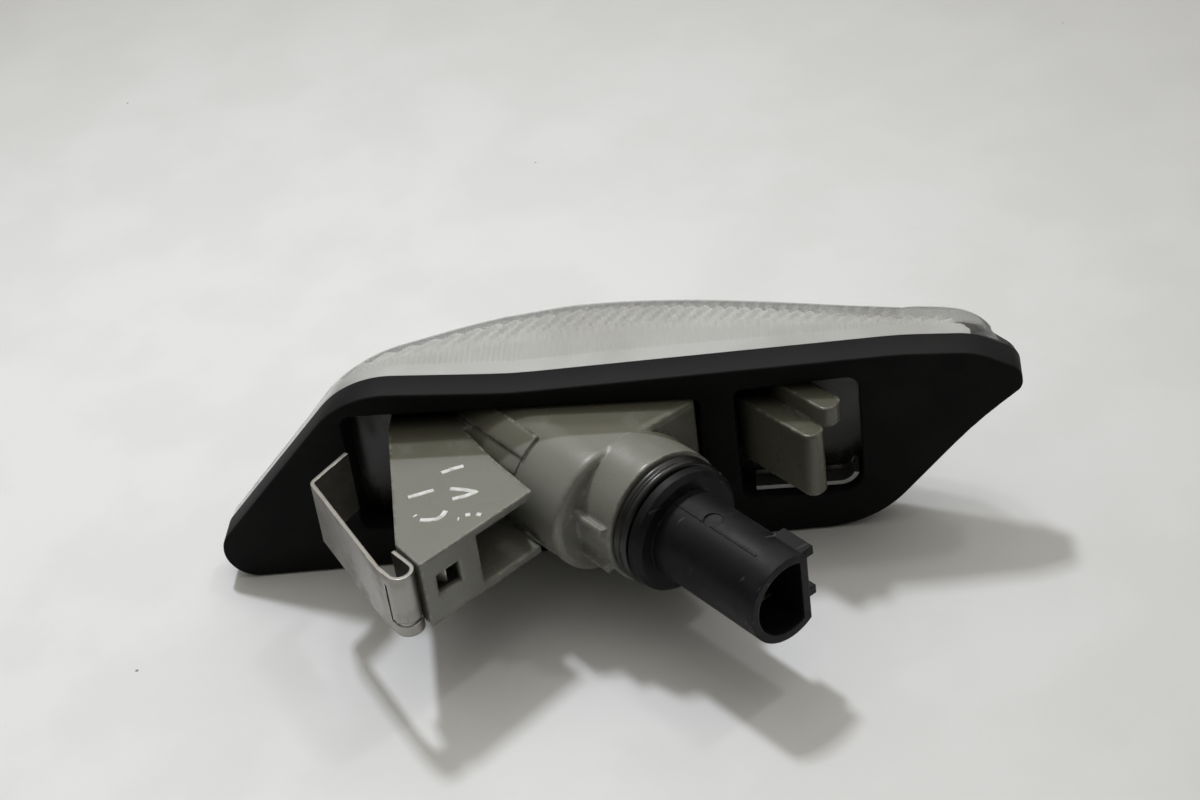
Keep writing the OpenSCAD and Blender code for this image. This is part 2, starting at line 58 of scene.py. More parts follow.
# %% Directions
SOCKET_ANGLE = math.radians(43)
ALONG = Vector((math.sin(SOCKET_ANGLE), -math.cos(SOCKET_ANGLE), 0))
ACROSS = Vector((math.cos(SOCKET_ANGLE), math.sin(SOCKET_ANGLE), 0))
UP = Vector((0, 0, 1))
ON_SOCKET = Matrix((ACROSS, UP, ALONG)).transposed().to_4x4()
print("socket points along", [round(v, 3) for v in ALONG])

# %% [markdown]
# ## The camera
#
# A camera can be placed by eye, or solved from edges whose direction is known. Here the long
# parallel edges of the clip box and the two circles of the socket gave one solution, which is
# written down as the camera's own directions right, up and back. The focal length is 72 mm on
# a 36 mm wide sensor, a short telephoto held about 31 cm from the lamp.

# %% Camera
camera = bpy.data.objects.new("camera", bpy.data.cameras.new("camera"))
camera.data.sensor_width = 36
camera.data.lens = 72
looking = Matrix(
    (
        (0.991895, 0.059322, -0.112364),
        (0.055204, 0.595305, 0.801601),
        (0.114443, -0.801307, 0.587205),
    )
).transposed()
standing = Vector((38.620, -245.198, 189.464)) * MM
camera.matrix_world = Matrix.Translation(standing) @ looking.to_4x4()
camera.data.clip_start = 0.01
bpy.context.scene.collection.objects.link(camera)
bpy.context.scene.camera = camera
print("camera lens:", camera.data.lens, "mm")

# %% [markdown]
# ## Building finishes
#
# Each finish is one Principled shader with a few patterns feeding it. Small helpers keep the
# node trees readable: `place` makes a node and sets or links its inputs, `start_finish` makes a
# material whose shader is already joined to the output, `ramp` turns one range of values into
# another, and `tint` lays a second colour over a first one by a mask.


# %% Helpers for finishes
def place(tree, kind, inputs=None, **settings):
    made = tree.nodes.new(kind)
    for name, value in settings.items():
        setattr(made, name, value)
    for name, value in (inputs or {}).items():
        if isinstance(value, bpy.types.NodeSocket):
            tree.links.new(value, made.inputs[name])
        else:
            made.inputs[name].default_value = value
    return made


def start_finish(name, constants):
    finish = bpy.data.materials.new(name)
    finish.use_nodes = True
    tree = finish.node_tree
    tree.nodes.clear()
    skin = place(tree, "ShaderNodeBsdfPrincipled", constants)
    output = place(tree, "ShaderNodeOutputMaterial")
    tree.links.new(skin.outputs["BSDF"], output.inputs["Surface"])
    return finish, tree, skin


def start_group(name, inputs, outputs):
    group = bpy.data.node_groups.new(name, "ShaderNodeTree")
    for label, value in inputs:
        socket = group.interface.new_socket(label, in_out="INPUT", socket_type="NodeSocketFloat")
        socket.default_value = value
    for label, kind in outputs:
        group.interface.new_socket(label, in_out="OUTPUT", socket_type=kind)
    given = group.nodes.new("NodeGroupInput")
    result = group.nodes.new("NodeGroupOutput")
    return group, given.outputs, result.inputs


def use_group(tree, group, **inputs):
    made = tree.nodes.new("ShaderNodeGroup")
    made.node_tree = group
    for name, value in inputs.items():
        made.inputs[name.replace("_", " ")].default_value = value
    return made.outputs


def calculate(tree, operation, a, b):
    return place(tree, "ShaderNodeMath", {0: a, 1: b}, operation=operation).outputs[0]


def times(tree, a, b):
    return calculate(tree, "MULTIPLY", a, b)


def split(tree, vector):
    return place(tree, "ShaderNodeSeparateXYZ", {0: vector}).outputs


def object_place(tree):
    return place(tree, "ShaderNodeTexCoord").outputs["Object"]


def ramp(tree, value, low, high, to_low=0.0, to_high=1.0):
    made = place(tree, "ShaderNodeMapRange", {"Value": value}, interpolation_type="SMOOTHSTEP")
    limits = {"From Min": low, "From Max": high, "To Min": to_low, "To Max": to_high}
    for name, number in limits.items():
        made.inputs[name].default_value = number
    return made.outputs["Result"]


def tint(tree, base, over, amount):
    made = place(tree, "ShaderNodeMix", data_type="RGBA")
    for socket, value in ((made.inputs[0], amount), (made.inputs[6], base), (made.inputs[7], over)):
        if isinstance(value, bpy.types.NodeSocket):
            tree.links.new(value, socket)
        elif isinstance(value, (int, float)):
            socket.default_value = value
        else:
            socket.default_value = (*value, 1)
    return made.outputs[2]


def noise(tree, where, scale, detail, roughness=0.5):
    inputs = {"Vector": where, "Scale": scale, "Detail": detail, "Roughness": roughness}
    return place(tree, "ShaderNodeTexNoise", inputs).outputs["Fac"]


def colour(skin, tree, value):
    tree.links.new(value, skin.inputs["Base Color"])


def relief(tree, skin, height, strength, distance, normal=None):
    bump = place(tree, "ShaderNodeBump", {"Strength": strength, "Distance": distance, "Height": height})
    if normal is not None:
        tree.links.new(normal, bump.inputs["Normal"])
    tree.links.new(bump.outputs["Normal"], skin.inputs["Normal"])


# %% [markdown]
# ## Effects that several finishes share
#
# A used lamp shows the same three things everywhere: edges rubbed pale, fine scratches, and
# uneven soiling. Each effect is a node group with its own sliders, so that plastic, rubber and
# steel can share it with different values. The edge group compares the true surface direction
# with a rounded one, which differ only near an edge, and breaks the line up with noise.


# %% Shared effects
def make_edge_rub():
    group, given, result = start_group(
        "edge_rub",
        [("Width", 0.4 * MM), ("Amount", 1), ("Break up", 900)],
        [("Mask", "NodeSocketFloat"), ("Rounded", "NodeSocketVector")],
    )
    soft = place(group, "ShaderNodeBevel", {"Radius": given["Width"]}, samples=6)
    true = place(group, "ShaderNodeNewGeometry")
    agree = place(
        group,
        "ShaderNodeVectorMath",
        {0: soft.outputs["Normal"], 1: true.outputs["Normal"]},
        operation="DOT_PRODUCT",
    ).outputs["Value"]
    edge = ramp(group, agree, 0.995, 0.9)
    where = object_place(group)
    patchy = noise(group, where, given["Break up"], 4, 0.65)
    broken = times(group, edge, ramp(group, patchy, 0.42, 0.62))
    group.links.new(times(group, broken, given["Amount"]), result["Mask"])
    group.links.new(soft.outputs["Normal"], result["Rounded"])
    return group


def make_scratches():
    group, given, result = start_group(
        "scratches",
        [("Turn", 0.6), ("Fineness", 1500), ("Amount", 1), ("Cover", 0.55)],
        [("Mask", "NodeSocketFloat")],
    )
    where = object_place(group)
    turn = place(
        group, "ShaderNodeVectorRotate", {"Vector": where, "Axis": (0.3, 0.5, 1), "Angle": given["Turn"]}
    )
    stretch = place(group, "ShaderNodeMapping", {"Vector": turn.outputs[0], "Scale": (0.05, 1, 0.25)})
    line = noise(group, stretch.outputs[0], given["Fineness"], 2)
    patch = noise(group, where, 220, 3)
    covered = calculate(group, "GREATER_THAN", patch, given["Cover"])
    mask = times(group, ramp(group, line, 0.66, 0.72), covered)
    group.links.new(times(group, mask, given["Amount"]), result["Mask"])
    return group


def make_soiling():
    group, given, result = start_group(
        "soiling",
        [("Size", 90), ("Amount", 1)],
        [("Mask", "NodeSocketFloat"), ("Grain", "NodeSocketFloat")],
    )
    where = object_place(group)
    cloud = noise(group, where, given["Size"], 6, 0.6)
    grain = noise(group, where, 6000, 2)
    group.links.new(times(group, ramp(group, cloud, 0.4, 0.7), given["Amount"]), result["Mask"])
    group.links.new(grain, result["Grain"])
    return group


edge_rub, scratches, soiling = make_edge_rub(), make_scratches(), make_soiling()
print("shared effects:", edge_rub.name, scratches.name, soiling.name)

# %% [markdown]
# ## Housing plastic
#
# The housing is a warm grey filled plastic with a satin skin. Its corners have gone pale where
# it was pushed in and out of the panel, and a thin layer of road dirt dulls it in patches. The
# pale tone is mixed in by the edge group, and the same group's rounded direction stands in for
# the small radius that every moulded edge has. Near the panel, up to a clear line, and all over
# the hooks, the colour is painted browner and darker: painted shade for the gasket's shadow.
# Deep in the windows it is painted nearly black: painted shade for the dark recesses.


# %% Housing finish
# painted shade: behind this line, and past this X over the hooks, the housing is painted browner and
# darker, as in the gasket's shadow
SHADE_LINE_Y = (-6.2 * MM, -5.6 * MM)
SHADED_HOOKS_X = (18 * MM, 18.5 * MM)
# painted shade: between these depths behind the gasket the housing is painted nearly black, as in the
# windows' deep shade
WINDOW_SHADE_DEPTHS = (0.5 * MM, 3.5 * MM)


def finish_housing():
    finish, tree, skin = start_finish("housing_plastic", {"IOR": 1.5})
    edge = use_group(tree, edge_rub, Width=0.8 * MM, Amount=0.45, Break_up=700)
    lines = use_group(tree, scratches, Turn=0.5, Fineness=1400, Amount=0.2, Cover=0.56)
    dirt = use_group(tree, soiling, Size=110, Amount=0.5)
    here = split(tree, object_place(tree))
    painted_shade = calculate(
        tree, "MAXIMUM", ramp(tree, here["Y"], *SHADE_LINE_Y), ramp(tree, here["X"], *SHADED_HOOKS_X)
    )
    base = tint(tree, (0.2, 0.2, 0.178), (0.145, 0.142, 0.115), dirt["Mask"])
    base = tint(tree, base, (0.36, 0.36, 0.34), lines["Mask"])
    # painted shade of the gasket over the housing near the panel and over the hooks
    base = tint(tree, base, (0.1, 0.098, 0.072), times(tree, painted_shade, 0.9))
    base = tint(tree, base, (0.5, 0.5, 0.47), edge["Mask"])
    # painted shade deep in the windows
    base = tint(tree, base, (0.014, 0.0135, 0.012), ramp(tree, here["Y"], *WINDOW_SHADE_DEPTHS))
    colour(skin, tree, base)
    tree.links.new(ramp(tree, dirt["Mask"], 0, 0.5, 0.18, 0.34), skin.inputs["Roughness"])
    relief(tree, skin, dirt["Grain"], 0.12, 0.04 * MM, edge["Rounded"])
    return finish


def dress(node, finish):
    nodes[node].data.materials.clear()
    nodes[node].data.materials.append(finish)


dress("housing", finish_housing())
print("the housing wears", nodes["housing"].data.materials[0].name)

# %% [markdown]
# ## Holder plastic, seal rubber and spring steel
#
# The twist-in bulb holder is a harder, blue-black plastic with light scuffs along its flanks.
# The seal next to it is smooth rubber that still shines a little. The clip is bent from satin
# strip: its flat faces keep the fine lines of rolling, and its sheared edges are bright. Worn
# metal is told mostly by its roughness, so dirt and lines both raise that, and only dirt tints it.


# %% Holder, seal and clip finishes
def finish_holder():
    finish, tree, skin = start_finish("holder_plastic", {"IOR": 1.45, "Specular IOR Level": 0.2})
    edge = use_group(tree, edge_rub, Width=0.3 * MM, Amount=0.35, Break_up=1100)
    lines = use_group(tree, scratches, Turn=-0.7, Fineness=1900, Amount=0.6, Cover=0.5)
    dirt = use_group(tree, soiling, Size=160, Amount=0.8)
    base = tint(tree, (0.006, 0.006, 0.0075), (0.0125, 0.0125, 0.0145), dirt["Mask"])
    base = tint(tree, base, (0.065, 0.065, 0.07), lines["Mask"])
    base = tint(tree, base, (0.09, 0.09, 0.09), edge["Mask"])
    colour(skin, tree, base)
    tree.links.new(ramp(tree, dirt["Mask"], 0, 0.8, 0.45, 0.62), skin.inputs["Roughness"])
    relief(tree, skin, dirt["Grain"], 0.2, 0.05 * MM, edge["Rounded"])
    return finish


def finish_seal():
    finish, tree, skin = start_finish("seal_rubber", {"IOR": 1.5})
    dirt = use_group(tree, soiling, Size=200, Amount=0.6)
    colour(skin, tree, tint(tree, (0.006, 0.006, 0.006), (0.016, 0.015, 0.014), dirt["Mask"]))
    tree.links.new(ramp(tree, dirt["Mask"], 0, 0.6, 0.32, 0.5), skin.inputs["Roughness"])
    relief(tree, skin, dirt["Grain"], 0.1, 0.03 * MM)
    return finish


def finish_clip():
    finish, tree, skin = start_finish("spring_steel", {"Metallic": 1.0})
    edge = use_group(tree, edge_rub, Width=0.18 * MM, Amount=1, Break_up=500)
    lines = use_group(tree, scratches, Turn=0.75, Fineness=2600, Amount=0.8, Cover=0.42)
    dirt = use_group(tree, soiling, Size=150, Amount=1)
    base = tint(tree, (0.31, 0.3, 0.28), (0.2, 0.185, 0.165), dirt["Mask"])
    base = tint(tree, base, (0.75, 0.74, 0.72), edge["Mask"])
    colour(skin, tree, base)
    worn = calculate(tree, "ADD", dirt["Mask"], lines["Mask"])
    tree.links.new(ramp(tree, worn, 0, 1.2, 0.3, 0.52), skin.inputs["Roughness"])
    relief(tree, skin, lines["Mask"], 0.15, 0.03 * MM, edge["Rounded"])
    return finish


dress("bulb_holder", finish_holder())
dress("spring_clip", finish_clip())
seal_rubber = finish_seal()
for node in ("bulb_holder", "spring_clip"):
    print(node, "wears", nodes[node].data.materials[0].name)

# %% [markdown]
# ## Terminals, bulb glass and wires
#
# These sit inside the lamp, where only the mouth of the connector gives them away. The blades
# are tinned brass, the bulb is amber glass because the lens is clear, and its wires are drawn.
# Glass keeps a plain transmission value, and its colour varies a little along the bulb.


# %% Inner finishes
def finish_terminals():
    finish, tree, skin = start_finish("tinned_brass", {"Metallic": 1.0})
    lines = use_group(tree, scratches, Turn=0.75, Fineness=2500, Amount=1, Cover=0.4)
    dirt = use_group(tree, soiling, Size=300, Amount=1)
    colour(skin, tree, tint(tree, (0.62, 0.55, 0.38), (0.4, 0.33, 0.2), dirt["Mask"]))
    tree.links.new(ramp(tree, lines["Mask"], 0, 1, 0.28, 0.5), skin.inputs["Roughness"])
    return finish


def finish_bulb():
    finish, tree, skin = start_finish(
        "amber_glass", {"IOR": 1.5, "Transmission Weight": 0.85, "Roughness": 0.03}
    )
    dirt = use_group(tree, soiling, Size=120, Amount=1)
    colour(skin, tree, tint(tree, (1.0, 0.5, 0.1), (0.9, 0.36, 0.05), dirt["Mask"]))
    return finish


def finish_wire():
    finish, tree, skin = start_finish("drawn_wire", {"Metallic": 1.0})
    lines = use_group(tree, scratches, Turn=0.75, Fineness=4000, Amount=1, Cover=0.3)
    colour(skin, tree, tint(tree, (0.55, 0.54, 0.52), (0.35, 0.34, 0.33), lines["Mask"]))
    tree.links.new(ramp(tree, lines["Mask"], 0, 1, 0.3, 0.5), skin.inputs["Roughness"])
    return finish


tinned = finish_terminals()
dress("terminal_upper", tinned)
dress("terminal_lower", tinned)
dress("bulb_glass", finish_bulb())
dress("bulb_filament", finish_wire())
for node in ("terminal_upper", "terminal_lower", "bulb_glass", "bulb_filament"):
    print(node, "wears", nodes[node].data.materials[0].name)

# %% [markdown]
# ## The lamp's outline
#
# Lens and gasket share one outline: a teardrop that leans back, made of nine straight runs
# whose corners are rounded with very different radii. Drawing it as corners with radii, instead
# of as a traced line, keeps it smooth at any density and lets a smaller copy be drawn inside it
# for the wall and the windows.

# %% Outline
CORNERS = [
    (-56, -17.2, 4.35),
    (-29.8, 12.6, 13),
    (-8, 11.6, 60),
    (42, 14.2, 45),
    (51.2, 13.8, 9),
    (56.8, 10.9, 2.6),
    (56.95, 8.1, 1.8),
    (51, 2.9, 60),
    (37.5, -12.8, 15),
]


def unit(v):
    return v / np.linalg.norm(v)


def corner_arc(a, b, c, radius, step=3.0):
    """Points of the arc that rounds the corner b between its neighbours a and c."""
    u, v = unit(a - b), unit(c - b)
    half = math.acos(float(np.clip(u @ v, -1, 1))) / 2
    middle = b + unit(u + v) * radius / math.sin(half)
    first = b + u * radius / math.tan(half) - middle
    last = b + v * radius / math.tan(half) - middle
    start = math.atan2(first[1], first[0])
    sweep = (math.atan2(last[1], last[0]) - start + math.pi) % (2 * math.pi) - math.pi
    count = max(1, math.ceil(abs(math.degrees(sweep)) / step))
    angles = start + sweep * np.arange(count + 1) / count
    return middle + radius * np.stack([np.cos(angles), np.sin(angles)], 1)


def rounded(corners, step=3.0):
    """Closed path through corners of the form (x, y, radius)."""
    points = [np.array(c[:2], float) for c in corners]
    arcs = []
    for i, corner in enumerate(corners):
        after = points[(i + 1) % len(points)]
        arcs.append(corner_arc(points[i - 1], points[i], after, corner[2], step))
    return np.concatenate(arcs)


def inset(corners, d):
    """The same corners, moved inwards by d."""
    points = [np.array(c[:2], float) for c in corners]
    n, moved = len(points), []
    for i in range(n):
        t1, t2 = unit(points[i] - points[i - 1]), unit(points[(i + 1) % n] - points[i])
        n1, n2 = np.array([t1[1], -t1[0]]), np.array([t2[1], -t2[0]])
        bulges = t1[0] * t2[1] - t1[1] * t2[0] < 0
        p = points[i] + d * (n1 + n2) / (1 + n1 @ n2)
        moved.append((p[0], p[1], max(0.1, corners[i][2] + (-d if bulges else d))))
    return moved


outline = rounded(CORNERS)
print("outline", np.ptp(outline, axis=0).round(1), "mm")

# %% [markdown]
# ## The lens
#
# The lens is one clear moulding, deepest in front of the bulb, with a soft nose and a square
# shoulder. Sections across the lamp are flattened arches, and their depth follows a smooth line
# along it, so a loft through nearly three hundred sections gives the outer skin. A second loft,
# smaller by the wall, gives the inner skin, and both meet in a flat rim on the gasket. The
# hollow ends short of the square shoulder in a rounded wall, which leaves a clear solid tip.

# %% Lens form
GASKET_T, PLATE_FRONT = 4.6, 6.6
LENS_INSET, LENS_DEPTH, LENS_WALL, LEAST_DEPTH = 0.2, 16.0, 1.7, 0.25
NOSE_X, DEEPEST_X, TAIL_START, TAIL_X = -50.4, -1.0, 43.0, 53.8
TAIL_DEPTH, TAIL_STEP = LENS_DEPTH * 0.36, 0.3
HOLLOW_END, HOLLOW_ROUND = 50.6, 3.5
# beyond TIP_X a section sits further back, by this share of its distance from there
TIP_X, TIP_FALL = 53.0, 0.47
# a section is an ellipse at the nose and nearly a box from the middle on
NOSE_POWER, MIDDLE_POWER, ROUND_UNTIL, FULL_FROM = 2, 6.5, NOSE_X * 0.8, NOSE_X * 0.2
# a hair's breadth, which keeps end sections open and slabs clear of the faces of the lens
HAIR = 0.02


def bezier(points, count):
    a, b, c, d = (np.array(p, float) for p in points)
    t = (np.arange(count) / count)[:, None]
    return a * (1 - t) ** 3 + 3 * b * t * (1 - t) ** 2 + 3 * c * t * t * (1 - t) + d * t**3


nose_line = [
    (NOSE_X, 0.3),
    (NOSE_X * 0.68, 0.5),
    (NOSE_X * 0.4, LENS_DEPTH * 0.93),
    (DEEPEST_X, LENS_DEPTH),
]
middle_line = [
    (DEEPEST_X, LENS_DEPTH),
    (DEEPEST_X + 16, LENS_DEPTH),
    (TAIL_X * 0.55, LENS_DEPTH * 0.62),
    (TAIL_START, TAIL_DEPTH),
]
turn = np.radians(np.linspace(0, 90, 31))
tail_x = TAIL_START + (TAIL_X - TAIL_START) * np.sin(turn)
tail_line = np.stack([tail_x, TAIL_DEPTH * np.cos(turn) + TAIL_STEP], 1)
depth_line = np.concatenate([bezier(nose_line, 80), bezier(middle_line, 80), tail_line])


def two_edges(path):
    """The upper and lower edge of a closed outline, each in order of X."""
    left, right, n = int(path[:, 0].argmin()), int(path[:, 0].argmax()), len(path)
    upper = path[[(left + i) % n for i in range((right - left) % n + 1)]]
    lower = path[[(right + i) % n for i in range((left - right) % n + 1)]][::-1]
    return upper, lower


def arch(x, low, high, depth, steps):
    """One section of the lens, with its points spread evenly along the curve."""
    full = np.clip((x - ROUND_UNTIL) / (FULL_FROM - ROUND_UNTIL), 0, 1) ** 1.5
    power = NOSE_POWER + (MIDDLE_POWER - NOSE_POWER) * full
    a = np.pi * (1 - np.cos(np.linspace(0, np.pi, 801))) / 2
    z = (high + low) / 2 - (high - low) / 2 * np.sign(np.cos(a)) * np.abs(np.cos(a)) ** (2 / power)
    y = depth * np.sin(a) ** (2 / power)
    run = np.concatenate([[0], np.cumsum(np.hypot(np.diff(z), np.diff(y)))])
    even = np.linspace(0, run[-1], steps + 1)
    return np.interp(even, run, z), np.interp(even, run, y)


def skin_ends(d, last):
    """First and last X of a skin that is set in by d."""
    path = rounded(inset(CORNERS, d), 1.5)
    return path[:, 0].min() + HAIR, min(last, path[:, 0].max() - HAIR)


def lens_skin(d, share, last=60.0, steps=56):
    """Sections of one skin of the lens, set in by d, at shares of its length up to a last X."""
    upper, lower = two_edges(rounded(inset(CORNERS, d), 1.5))
    x0, x1 = skin_ends(d, last)
    rows = []
    for u in share:
        x = x0 + (x1 - x0) * u
        low, high = (np.interp(x, edge[:, 0], edge[:, 1]) for edge in (lower, upper))
        depth = max(LEAST_DEPTH, np.interp(x, depth_line[:, 0], depth_line[:, 1]) - (d - LENS_INSET))
        rounding = np.clip((x - last + HOLLOW_ROUND) / HOLLOW_ROUND, 0, 0.98)
        depth *= math.sqrt(1 - rounding**2)
        z, y = arch(x, low, high, depth, steps)
        z = np.concatenate([[low], z, [high]])
        base = PLATE_FRONT - TIP_FALL * max(0, x - TIP_X)
        y = np.concatenate([[GASKET_T], y + base, [GASKET_T]])
        rows.append(np.stack([np.full(len(z), x), y, z], 1))
    return np.array(rows)


STEP = 0.35
first_x, last_x = skin_ends(LENS_INSET + LENS_WALL, HOLLOW_END)
length = last_x - first_x
ends = np.array([0, 0.08, 0.2]) / length
# whole multiples of the step, so that the fine lines of the inner skin fall on sections
middle = (np.arange(math.ceil(first_x / STEP), last_x / STEP) * STEP - first_x) / length
middle = middle[(middle > ends[-1]) & (middle < 1 - ends[-1])]
share = np.concatenate([ends, middle, 1 - ends[::-1]])
outer_skin = lens_skin(LENS_INSET, share)
inner_skin = lens_skin(LENS_INSET + LENS_WALL, share, HOLLOW_END)
print("lens sections:", outer_skin.shape[0], "of", outer_skin.shape[1], "points")

# %% [markdown]
# ## Joining the two skins
#
# Both skins have the same number of sections and points, so one index rule joins them: quads
# along each skin, a strip of quads for the rim, and one many-sided face for each closed end.
# Two attributes travel with the points: which skin they are on, and how far forward they lie.
# A ledge and a thin shelf of the lens show in the window round the hooks. They are slabs that
# are added to the same mesh.


# %% Helpers for the lens mesh
def add_piece(name, data):
    piece = bpy.data.objects.new(name, data)
    bpy.context.scene.collection.objects.link(piece)
    return piece


def mesh_piece(name, points, faces):
    mesh = bpy.data.meshes.new(name)
    mesh.from_pydata([tuple(Vector(p) * MM) for p in points], [], faces)
    mesh.validate()
    return add_piece(name, mesh)


def tidy(piece, sharp=30):
    """Merges doubles, turns faces outwards and keeps edges sharper than an angle."""
    work = bmesh.new()
    work.from_mesh(piece.data)
    bmesh.ops.remove_doubles(work, verts=work.verts, dist=1e-7)
    bmesh.ops.recalc_face_normals(work, faces=work.faces)
    work.to_mesh(piece.data)
    work.free()
    piece.data.shade_smooth()
    piece.data.set_sharp_from_angle(angle=math.radians(sharp))
    return piece


def join_skins(outer, inner):
    """One closed shell from an outer and an inner skin with the same rows and points."""
    n, m = outer.shape[:2]
    points = np.concatenate([outer.reshape(-1, 3), inner.reshape(-1, 3)])
    out, into, faces = 0, n * m, []
    for i in range(n - 1):
        a, b = i * m, (i + 1) * m
        for k in range(m - 1):
            faces.append((out + a + k, out + b + k, out + b + k + 1, out + a + k + 1))
            faces.append((into + a + k, into + a + k + 1, into + b + k + 1, into + b + k))
        for k in (0, m - 1):
            faces.append((out + a + k, into + a + k, into + b + k, out + b + k))
    for a in (0, (n - 1) * m):
        faces.append(tuple(out + a + k for k in range(m)))
        faces.append(tuple(into + a + k for k in range(m)))
        faces.append((out + a, into + a, into + a + m - 1, out + a + m - 1))
    return points, faces


def evenly(path, spacing=0.25):
    """A closed path with its points at even distances."""
    closed = np.concatenate([path, path[:1]])
    run = np.concatenate([[0], np.cumsum(np.hypot(*np.diff(closed, axis=0).T))])
    at = np.arange(0, run[-1], spacing)
    return np.stack([np.interp(at, run, closed[:, 0]), np.interp(at, run, closed[:, 1])], 1)


def slab(loop, y0, y1, first):
    """Points and faces of a closed X-Z loop between two depths, numbered from a first index."""
    n = len(loop)
    points = [(x, y, z) for y in (y0, y1) for x, z in loop]
    faces = [tuple(first + k for k in range(n)), tuple(first + n + k for k in range(n))]
    for k in range(n):
        j = (k + 1) % n
        faces.append((first + k, first + j, first + n + j, first + n + k))
    return points, faces


# %% Lens mesh
points, faces = join_skins(outer_skin, inner_skin)
row = outer_skin.shape[1]
rise = (points[:, 1] - PLATE_FRONT).reshape(-1, row)
forward = np.clip(rise / np.maximum(rise.max(axis=1, keepdims=True), 0.1), 0, 1).reshape(-1)
inside = np.arange(len(points)) >= len(points) // 2

WINDOW_BODY = [(-30.5, -9.6, 1.5), (-30.5, 9.2, 1.5), (16.2, 9.2, 1.5), (16.2, -9.6, 1.5)]
WINDOW_HOOKS = [(20.5, -7.5, 1.5), (20.5, 10, 1.5), (36.4, 11.1, 1.5), (36.4, -7.2, 3.2)]
SHELF_GAP, SHELF_T, SHELF_BACK, SHELF_LEFT, SHELF_TOP = 0.4, 0.6, 1.2, 22.3, -4.8
LEDGE = [(19.6, -10.5), (19.6, -6.5), (38.2, -6.5), (38.2, -9.8), (35.0, -11.0)]
sides = []
for d in (SHELF_GAP, SHELF_GAP + SHELF_T):
    path = evenly(rounded(inset(WINDOW_HOOKS, d)))
    path = path[(path[:, 0] > SHELF_LEFT) & (path[:, 1] < SHELF_TOP)]
    sides.append(path[np.argsort(path[:, 0] + path[:, 1])])
shelf = np.concatenate([sides[0], sides[1][::-1]])
slabs = [(shelf, SHELF_BACK, GASKET_T - HAIR), (LEDGE, GASKET_T + HAIR, PLATE_FRONT - 0.05)]
for loop, y0, y1 in slabs:
    more, walls = slab(loop, y0, y1, len(points))
    points, faces = np.concatenate([points, more]), faces + walls
extra = len(points) - len(inside)
lens = mesh_piece("lens_clear", points, faces)
for name, value in (("inside", inside), ("forward", forward)):
    mark = lens.data.attributes.new(name, "FLOAT", "POINT")
    mark.data.foreach_set("value", np.concatenate([value, np.zeros(extra)]).astype(np.float32))
print("lens mesh:", len(lens.data.polygons), "faces")

# %% [markdown]
# ## Prisms inside the lens
#
# Light is spread by prisms moulded into the inner skin: about 2 mm apart in front, leaning over
# as they turn the corner, with finer lines on the side walls. That is a rule, not a drawing, so
# Geometry Nodes do it. The tree folds a slanted X position into a zigzag with Ping-Pong and
# pushes the inner skin along its normal by that much. Pitch, slant and height are named inputs.


# %% Prism tree
def zigzag(tree, x, pitch, height):
    """Height of a triangular wave along x, from 0 to height."""
    half = times(tree, pitch, 0.5)
    fold = calculate(tree, "PINGPONG", x, half)
    return times(tree, calculate(tree, "DIVIDE", fold, half), height)


def wear(tree, geometry, material):
    """Makes a tree's geometry real and gives it a material."""
    real = place(tree, "GeometryNodeRealizeInstances", {"Geometry": geometry})
    dressed = place(tree, "GeometryNodeSetMaterial", {"Geometry": real.outputs[0], "Material": material})
    return dressed.outputs[0]


def make_prism_tree():
    tree = bpy.data.node_groups.new("lens_prisms", "GeometryNodeTree")
    tree.interface.new_socket("Lens", in_out="INPUT", socket_type="NodeSocketGeometry")
    for label in ("Pitch", "Height", "Slant", "Wall pitch", "Wall height"):
        tree.interface.new_socket(label, in_out="INPUT", socket_type="NodeSocketFloat")
    tree.interface.new_socket("Plastic", in_out="INPUT", socket_type="NodeSocketMaterial")
    tree.interface.new_socket("Prisms", in_out="INPUT", socket_type="NodeSocketMaterial")
    tree.interface.new_socket("Lens", in_out="OUTPUT", socket_type="NodeSocketGeometry")
    given = tree.nodes.new("NodeGroupInput").outputs
    result = tree.nodes.new("NodeGroupOutput").inputs
    here = split(tree, tree.nodes.new("GeometryNodeInputPosition").outputs[0])
    normal = tree.nodes.new("GeometryNodeInputNormal").outputs[0]
    marked, forward = (
        place(tree, "GeometryNodeInputNamedAttribute", {"Name": name}, data_type="FLOAT").outputs[0]
        for name in ("inside", "forward")
    )
    along = calculate(tree, "SUBTRACT", here["X"], times(tree, here["Y"], given["Slant"]))
    big = zigzag(tree, along, given["Pitch"], given["Height"])
    fine = zigzag(tree, here["X"], given["Wall pitch"], given["Wall height"])
    front = ramp(tree, forward, 0.42, 0.72)
    both = place(tree, "ShaderNodeMix", {0: front, 2: fine, 3: big}, data_type="FLOAT").outputs[0]
    above = ramp(tree, here["Y"], 6.8 * MM, 8.5 * MM)
    amount = times(tree, times(tree, both, marked), above)
    # the inner skin's normal points into the hollow, and the prisms stand up there
    push = place(tree, "ShaderNodeVectorMath", {0: normal, "Scale": amount}, operation="SCALE")
    placing = {"Geometry": given["Lens"], "Offset": push.outputs[0]}
    moved = place(tree, "GeometryNodeSetPosition", placing)
    clear = wear(tree, moved.outputs[0], given["Plastic"])
    chosen = place(tree, "FunctionNodeCompare", {0: marked, 1: 0.99}, operation="GREATER_EQUAL")
    painted = place(
        tree,
        "GeometryNodeSetMaterial",
        {"Geometry": clear, "Selection": chosen.outputs[0], "Material": given["Prisms"]},
    )
    tree.links.new(painted.outputs[0], result[0])
    return tree


def final_mesh(piece):
    """The mesh that an object has after its modifiers, or the mesh of a curve."""
    bpy.context.view_layer.update()
    return bpy.data.meshes.new_from_object(piece.evaluated_get(bpy.context.evaluated_depsgraph_get()))


